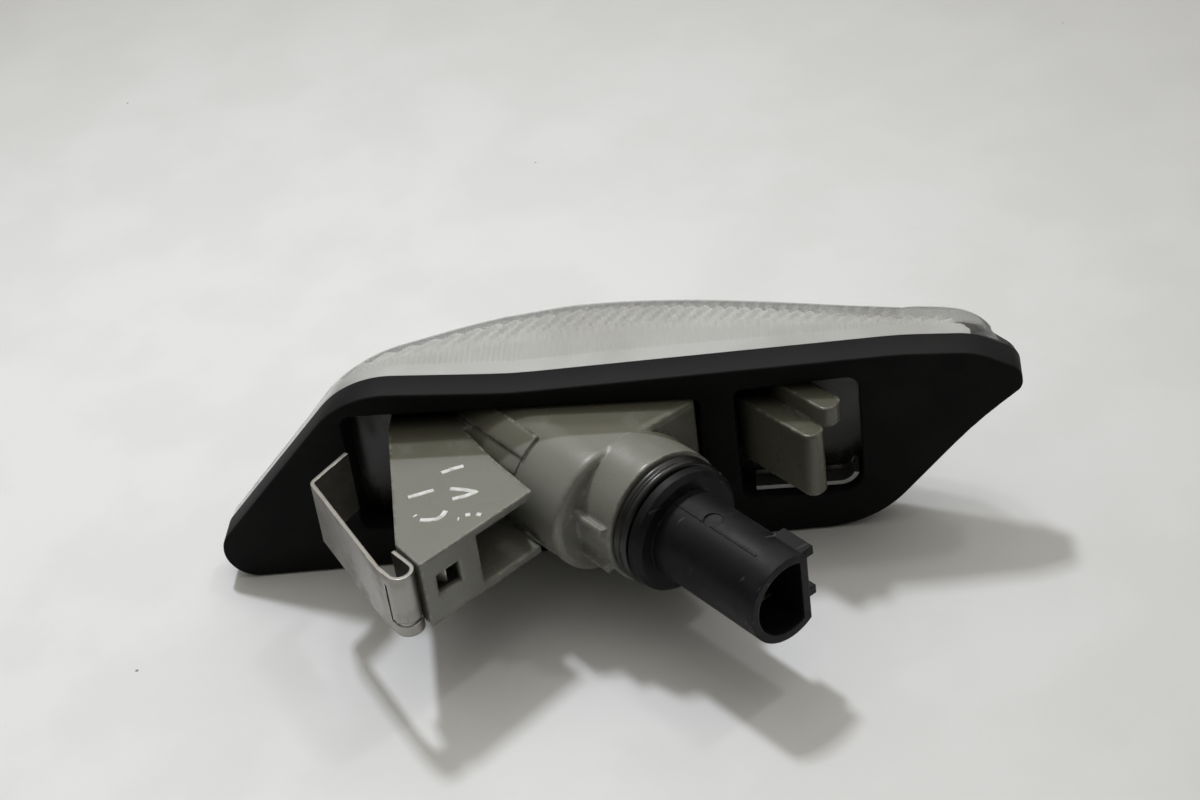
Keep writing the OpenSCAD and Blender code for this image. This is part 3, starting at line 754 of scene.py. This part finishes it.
def grown(piece, tree, **inputs):
    """Runs a tree with named inputs on a piece and returns the mesh piece that it grows."""
    modifier = piece.modifiers.new(tree.name, "NODES")
    modifier.node_group = tree
    for socket in tree.interface.items_tree:
        name = socket.name.replace(" ", "_")
        if socket.in_out == "INPUT" and name in inputs:
            modifier[socket.identifier] = inputs[name]
    mesh, name = final_mesh(piece), piece.name
    bpy.data.objects.remove(piece)
    return add_piece(name, mesh)


# %% [markdown]
# ## Clear lens plastic
#
# Clear plastic is a refracting shader with a low roughness. Lights can't shine through such a
# shader in a path tracer without a lot of noise, so for rays that only ask about shadow, and
# for diffuse rays, the surface is swapped for a plain see-through one. Fine wipe marks and a
# slight haze keep it from looking like new glass. The prisms spread light so much that the
# inner skin looks like pale, frosted plastic, so it gets a finish of its own. The ledge gets a
# near-black finish, painted shade for the dark window it shows in, and the shelf's end face gets
# the pale prism finish, painted light for the glow piped through the clear shelf to its edge.


# %% Lens finish
def let_light_through(tree, skin, share):
    """Swaps a surface for a see-through one where a ray only asks about shadow or soft light."""
    clear = place(tree, "ShaderNodeBsdfTransparent", {"Color": (share, share, share, 1)})
    path = place(tree, "ShaderNodeLightPath")
    through = calculate(tree, "MAXIMUM", path.outputs["Is Shadow Ray"], path.outputs["Is Diffuse Ray"])
    swap = place(tree, "ShaderNodeMixShader", {0: through, 1: skin.outputs[0], 2: clear.outputs[0]})
    output = next(n for n in tree.nodes if n.type == "OUTPUT_MATERIAL")
    tree.links.new(swap.outputs[0], output.inputs["Surface"])


def finish_lens():
    finish, tree, skin = start_finish(
        "lens_plastic", {"IOR": 1.49, "Transmission Weight": 0.96, "Specular IOR Level": 0.5}
    )
    lines = use_group(tree, scratches, Turn=0.2, Fineness=900, Amount=1, Cover=0.5)
    dirt = use_group(tree, soiling, Size=60, Amount=1)
    colour(skin, tree, tint(tree, (0.88, 0.885, 0.88), (0.8, 0.8, 0.785), dirt["Mask"]))
    tree.links.new(ramp(tree, dirt["Mask"], 0, 1, 0.04, 0.12), skin.inputs["Roughness"])
    relief(tree, skin, lines["Mask"], 0.05, 0.02 * MM)
    let_light_through(tree, skin, 0.92)
    return finish


def finish_prisms():
    finish, tree, skin = start_finish(
        "lens_prisms", {"IOR": 1.3, "Transmission Weight": 0.3, "Specular IOR Level": 0.3}
    )
    dirt = use_group(tree, soiling, Size=80, Amount=1)
    colour(skin, tree, tint(tree, (0.66, 0.665, 0.66), (0.58, 0.58, 0.57), dirt["Mask"]))
    tree.links.new(ramp(tree, dirt["Mask"], 0, 1, 0.3, 0.45), skin.inputs["Roughness"])
    let_light_through(tree, skin, 0.8)
    return finish


# painted shade: a near-black finish for the ledge, where it shows in the dark window
def finish_ledge_shade():
    finish, tree, skin = start_finish("lens_glue", {"IOR": 1.45})
    dirt = use_group(tree, soiling, Size=200, Amount=1)
    colour(skin, tree, tint(tree, (0.008, 0.008, 0.008), (0.016, 0.015, 0.014), dirt["Mask"]))
    tree.links.new(ramp(tree, dirt["Grain"], 0, 1, 0.6, 0.8), skin.inputs["Roughness"])
    return finish


# painted shade: lens faces in this box, the ledge and the foot of the inner wall beside it, get the
# near-black finish
LEDGE_SHADE_X, LEDGE_SHADE_Z = (19, 38.5), (-11.2, -6.4)
lens_plastic, prism_plastic, ledge_shade = finish_lens(), finish_prisms(), finish_ledge_shade()
lens = grown(
    tidy(lens),
    make_prism_tree(),
    Pitch=2.05 * MM,
    Height=0.7 * MM,
    Slant=0.6,
    Wall_pitch=0.7 * MM,
    Wall_height=0.1 * MM,
    Plastic=lens_plastic,
    Prisms=prism_plastic,
)
tidy(lens, 22)
# painted light: the shelf's end face gets the pale prism finish, for the glow of light piped to its
# edge;
# painted shade: the ledge and the foot of the inner wall beside it get a near-black finish
lens.data.materials.append(ledge_shade)
edge_glow_index, ledge_shade_index = (list(lens.data.materials).index(finish) for finish in (prism_plastic, ledge_shade))
for face in lens.data.polygons:
    x, y, z = face.center / MM
    over_ledge = LEDGE_SHADE_X[0] < x < LEDGE_SHADE_X[1] and LEDGE_SHADE_Z[0] < z < LEDGE_SHADE_Z[1]
    if face.normal.y < -0.9 and y < SHELF_BACK + 0.1:
        face.material_index = edge_glow_index
    elif over_ledge and GASKET_T < y < PLATE_FRONT:
        face.material_index = ledge_shade_index
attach(lens, "lamp")
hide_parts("lens")
print("lens after prisms:", len(lens.data.vertices), "vertices")

# %% [markdown]
# ## The foam gasket
#
# The gasket is stamped from closed-cell foam, so its edges are cut square and only slightly
# rounded. A flat curve with two holes, given thickness and a small bevel, is the quickest way
# to such a plate. The bevel grows outwards, so the loops are drawn that much smaller, and the
# windows that much larger. The plate is turned upright and made a mesh.

# %% Gasket
EDGE = 0.3


def curve_piece(name, lines, height=0, closed=False):
    """A curve object of straight lines through flat points, all at one height."""
    curve = bpy.data.curves.new(name, "CURVE")
    curve.dimensions = "3D"
    for line in lines:
        spline = curve.splines.new("POLY")
        spline.points.add(len(line) - 1)
        for point, (x, y) in zip(spline.points, line):
            point.co = (x * MM, y * MM, height * MM, 1)
        spline.use_cyclic_u = closed
    return add_piece(name, curve)


def flat_plate(name, loops, thickness, edge):
    """A plate of the X-Z plane with holes, from Y = 0 forwards, with rounded edges."""
    drawn = curve_piece(name, loops, closed=True)
    drawn.data.dimensions, drawn.data.fill_mode = "2D", "BOTH"
    drawn.data.extrude = (thickness / 2 - edge) * MM
    drawn.data.bevel_depth, drawn.data.bevel_resolution = edge * MM, 2
    mesh = final_mesh(drawn)
    bpy.data.objects.remove(drawn)
    mesh.transform(Matrix.Translation((0, thickness / 2 * MM, 0)) @ Matrix.Rotation(math.pi / 2, 4, "X"))
    return add_piece(name, mesh)


def finish_foam():
    finish, tree, skin = start_finish("gasket_foam", {"IOR": 1.4, "Specular IOR Level": 0.2})
    edge = use_group(tree, edge_rub, Width=0.5 * MM, Amount=0.8, Break_up=260)
    dirt = use_group(tree, soiling, Size=80, Amount=1)
    facing = split(tree, place(tree, "ShaderNodeNewGeometry").outputs["Normal"])
    flat = place(tree, "ShaderNodeMath", {0: facing["Y"]}, operation="ABSOLUTE").outputs[0]
    bubbles = {"Vector": object_place(tree), "Scale": 3200}
    cells = place(tree, "ShaderNodeTexVoronoi", bubbles).outputs["Distance"]
    base = tint(tree, (0.008, 0.0082, 0.0098), (0.006, 0.006, 0.0062), flat)
    base = tint(tree, base, (0.03, 0.024, 0.017), edge["Mask"])
    base = tint(tree, base, (0.014, 0.0135, 0.013), times(tree, dirt["Mask"], 0.5))
    colour(skin, tree, base)
    tree.links.new(ramp(tree, flat, 0, 1, 0.6, 0.8), skin.inputs["Roughness"])
    relief(tree, skin, cells, 0.3, 0.08 * MM)
    return finish


loops = [
    rounded(inset(CORNERS, EDGE)),
    rounded(inset(WINDOW_BODY, -EDGE), 10),
    rounded(inset(WINDOW_HOOKS, -EDGE), 10),
]
gasket = tidy(flat_plate("gasket_foam", loops, GASKET_T, EDGE), 50)
gasket.data.materials.clear()
gasket.data.materials.append(finish_foam())
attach(gasket, "lamp")
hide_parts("gasket")
print("gasket:", len(gasket.data.polygons), "faces")

# %% [markdown]
# ## The seal ring
#
# Between neck and collar sits a rubber ring with two lips, so that it seals even when the
# holder leans. It is a small profile carried round a circle, which is what Curve to Mesh does.
# The profile is given as a curve object, and the circle's radius is a named input of the tree.


# %% Seal
def make_ring_tree():
    tree = bpy.data.node_groups.new("ring_of_profile", "GeometryNodeTree")
    tree.interface.new_socket("Profile", in_out="INPUT", socket_type="NodeSocketGeometry")
    tree.interface.new_socket("Radius", in_out="INPUT", socket_type="NodeSocketFloat")
    tree.interface.new_socket("Steps", in_out="INPUT", socket_type="NodeSocketInt")
    tree.interface.new_socket("Rubber", in_out="INPUT", socket_type="NodeSocketMaterial")
    tree.interface.new_socket("Ring", in_out="OUTPUT", socket_type="NodeSocketGeometry")
    given = tree.nodes.new("NodeGroupInput").outputs
    result = tree.nodes.new("NodeGroupOutput").inputs
    size = {"Resolution": given["Steps"], "Radius": given["Radius"]}
    circle = place(tree, "GeometryNodeCurvePrimitiveCircle", size).outputs["Curve"]
    paths = {"Curve": circle, "Profile Curve": given["Profile"]}
    swept = place(tree, "GeometryNodeCurveToMesh", paths)
    tree.links.new(wear(tree, swept.outputs[0], given["Rubber"]), result[0])
    return tree


LIP_HEIGHT, LIP_HALF = 0.6032, 0.6


def lip_profile():
    """Two round lips side by side, as radius and distance from the middle."""
    points = []
    for centre, start in ((-0.58, 200), (0.58, 140)):
        for angle in np.radians(np.linspace(start, start - 160, 13)):
            points.append((LIP_HEIGHT * math.sin(angle) + 0.55, centre + LIP_HALF * math.cos(angle)))
    return points + [(-0.75, 1.15), (-0.85, 0.9), (-0.85, -0.9), (-0.75, -1.15)]


SEAL_S, SEAL_R = 17.85, 7.5
seal = grown(
    curve_piece("seal_ring", [lip_profile()], closed=True),
    make_ring_tree(),
    Radius=SEAL_R * MM,
    Steps=96,
    Rubber=seal_rubber,
)
seal.data.transform(ON_SOCKET @ Matrix.Translation((0, 0, SEAL_S * MM)))
tidy(seal, 60)
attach(seal, "holder")
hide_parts("holder_seal")
print("seal ring:", len(seal.data.polygons), "faces")

# %% [markdown]
# ## Paint marks on the box
#
# Someone marked the top of the clip box with a white paint pen. A pen leaves a low bead that
# widens and narrows, so the tree gives each line a radius from noise, sweeps a circle along it
# and flattens the result onto the box. These are plain strokes without meaning.

# %% Paint marks
BOX_TOP = 6.5
STROKES = [
    [(-16.4, -9.2), (-15.1, -8.5), (-13.7, -8.0)],
    [(-20.1, -13.8), (-18.5, -13.2), (-17.0, -12.6)],
    [(-14.9, -12.5), (-13.2, -12.8), (-11.5, -13.4), (-12.8, -14.1), (-14.4, -14.6)],
    [(-18.0, -18.4), (-17.0, -18.5), (-15.9, -18.4), (-15.3, -17.8), (-15.0, -16.9)],
    [(-18.8, -17.5), (-18.6, -17.7)],
    [(-13.3, -18.6), (-13.1, -18.6)],
    [(-12.4, -17.9), (-11.8, -17.8)],
    [(-11.0, -17.8), (-10.4, -18.0)],
]


def finish_paint():
    finish, tree, skin = start_finish("paint_pen", {"IOR": 1.5})
    dirt = use_group(tree, soiling, Size=900, Amount=1)
    colour(skin, tree, tint(tree, (0.72, 0.73, 0.73), (0.45, 0.45, 0.43), dirt["Mask"]))
    tree.links.new(ramp(tree, dirt["Grain"], 0, 1, 0.45, 0.65), skin.inputs["Roughness"])
    return finish


def make_stroke_tree():
    tree = bpy.data.node_groups.new("pen_strokes", "GeometryNodeTree")
    tree.interface.new_socket("Lines", in_out="INPUT", socket_type="NodeSocketGeometry")
    for label in ("Width", "Spacing", "Top", "Flatness"):
        tree.interface.new_socket(label, in_out="INPUT", socket_type="NodeSocketFloat")
    tree.interface.new_socket("Paint", in_out="INPUT", socket_type="NodeSocketMaterial")
    tree.interface.new_socket("Strokes", in_out="OUTPUT", socket_type="NodeSocketGeometry")
    given = tree.nodes.new("NodeGroupInput").outputs
    result = tree.nodes.new("NodeGroupOutput").inputs
    dense = place(tree, "GeometryNodeResampleCurve", {"Curve": given["Lines"]}, mode="LENGTH")
    tree.links.new(given["Spacing"], dense.inputs["Length"])
    here = tree.nodes.new("GeometryNodeInputPosition").outputs[0]
    wide = ramp(tree, noise(tree, here, 1700, 2), 0.3, 0.7, 0.55, 1.25)
    shaped = place(tree, "GeometryNodeSetCurveRadius", {"Curve": dense.outputs[0], "Radius": wide})
    half = times(tree, given["Width"], 0.5)
    circle = place(tree, "GeometryNodeCurvePrimitiveCircle", {"Resolution": 12, "Radius": half})
    bead = place(
        tree,
        "GeometryNodeCurveToMesh",
        {"Curve": shaped.outputs[0], "Profile Curve": circle.outputs["Curve"], "Fill Caps": True},
    )
    over = calculate(tree, "SUBTRACT", split(tree, here)["Z"], given["Top"])
    less = calculate(tree, "SUBTRACT", given["Flatness"], 1.0)
    lower = place(tree, "ShaderNodeCombineXYZ", {"Z": times(tree, over, less)}).outputs[0]
    flat = place(tree, "GeometryNodeSetPosition", {"Geometry": bead.outputs[0], "Offset": lower})
    tree.links.new(wear(tree, flat.outputs[0], given["Paint"]), result[0])
    return tree


strokes = grown(
    curve_piece("paint_strokes", STROKES, BOX_TOP),
    make_stroke_tree(),
    Width=0.68 * MM,
    Spacing=0.12 * MM,
    Top=BOX_TOP * MM,
    Flatness=0.25,
    Paint=finish_paint(),
)
tidy(strokes, 60)
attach(strokes, "lamp")
print("paint strokes:", len(strokes.data.polygons), "faces")

# %% [markdown]
# ## Table and light
#
# A plain pale table top with a faint mottle and a few specks lies under the lamp. Its colour is
# painted darker away from a point 30 mm to -X and 50 mm to -Y of the table's middle: a painted
# pool of light. The lamp rests on its nose and the lower bulge of the lens, so the table rises a
# little along X and Y in the lamp's own frame. One light of a hand's size stands high at the
# left behind the object, so that shadows fall to the lower right, and a weak one at the right
# only puts a glint on the housing's rounded shoulder. A wide soft box overhead and a pale sky,
# brighter above and behind than in front, fill the shadows. All of it belongs to the stage.


# %% Table and light
# painted light: the table is painted brightest around this point and darker away from it
PAINTED_LIGHT_CENTRE = (-30, -50, 0)


def finish_table():
    finish, tree, skin = start_finish("table_top", {"IOR": 1.4, "Roughness": 0.75})
    where = object_place(tree)
    mottle = ramp(tree, noise(tree, where, 45, 9), 0.4, 0.6)
    base = tint(tree, (0.735, 0.74, 0.755), (0.77, 0.775, 0.795), mottle)
    around_painted_light = {0: where, 1: Vector(PAINTED_LIGHT_CENTRE) * MM}
    painted_falloff = place(tree, "ShaderNodeVectorMath", around_painted_light, operation="DISTANCE").outputs["Value"]
    # painted pool of light: darker with distance from the brightest point
    base = tint(tree, base, (0.33, 0.325, 0.315), ramp(tree, painted_falloff, 40 * MM, 300 * MM))
    cells = place(tree, "ShaderNodeTexVoronoi", {"Vector": where, "Scale": 110})
    few = split(tree, cells.outputs["Color"])["X"]
    speck = times(tree, ramp(tree, cells.outputs["Distance"], 0.032, 0.02), ramp(tree, few, 0.8, 0.82))
    colour(skin, tree, tint(tree, base, (0.25, 0.24, 0.23), speck))
    return finish


# height of the table under the middle of the lamp, and its rise along X and along Y
TABLE_Z, RISE_X, RISE_Y = -14.75, 0.0465, 0.03
bpy.ops.mesh.primitive_plane_add(size=4, location=(0, 0, TABLE_Z * MM))
table = bpy.context.object
table.name = "table_top"
table.rotation_mode = "QUATERNION"
table.rotation_quaternion = Vector((-RISE_X, -RISE_Y, 1)).to_track_quat("Z", "Y")
table.data.materials.append(finish_table())

world = bpy.data.worlds.new("studio")
world.use_nodes = True
sky = world.node_tree
facing = split(sky, place(sky, "ShaderNodeTexCoord").outputs["Generated"])
overhead = ramp(sky, facing["Z"], 0.05, 0.85, 0.02, 1.0)
behind = ramp(sky, facing["Y"], -0.9, 0.1, 0.45, 1.0)
glow = sky.nodes["Background"].inputs
glow["Color"].default_value = (1, 0.965, 0.86, 1)
sky.links.new(times(sky, times(sky, overhead, behind), 0.6), glow["Strength"])
bpy.context.scene.world = world
bpy.context.scene.view_settings.view_transform = "Standard"


def light_from(name, direction, distance, size, power, tone):
    light = add_piece(name, bpy.data.lights.new(name, "AREA"))
    light.data.shape = "RECTANGLE"
    light.data.size, light.data.size_y = size
    light.data.energy, light.data.color = power, tone
    away = Vector(direction).normalized()
    turned = away.to_track_quat("Z", "Y").to_matrix().to_4x4()
    light.matrix_world = Matrix.Translation(away * distance) @ turned


light_from("key_light", (-0.21, 0.46, 1.0), 1.2, (0.1, 0.14), 7.0, (0.94, 0.965, 1.0))
light_from("side_light", (0.43, 0.29, 1.0), 1.2, (0.1, 0.1), 0.9, (1.0, 1.0, 0.97))
light_from("soft_box", (0.05, 0.35, 1.0), 1.5, (2.0, 1.7), 5, (1.0, 0.975, 0.9))
print("lights:", ", ".join(light.name for light in bpy.data.lights))
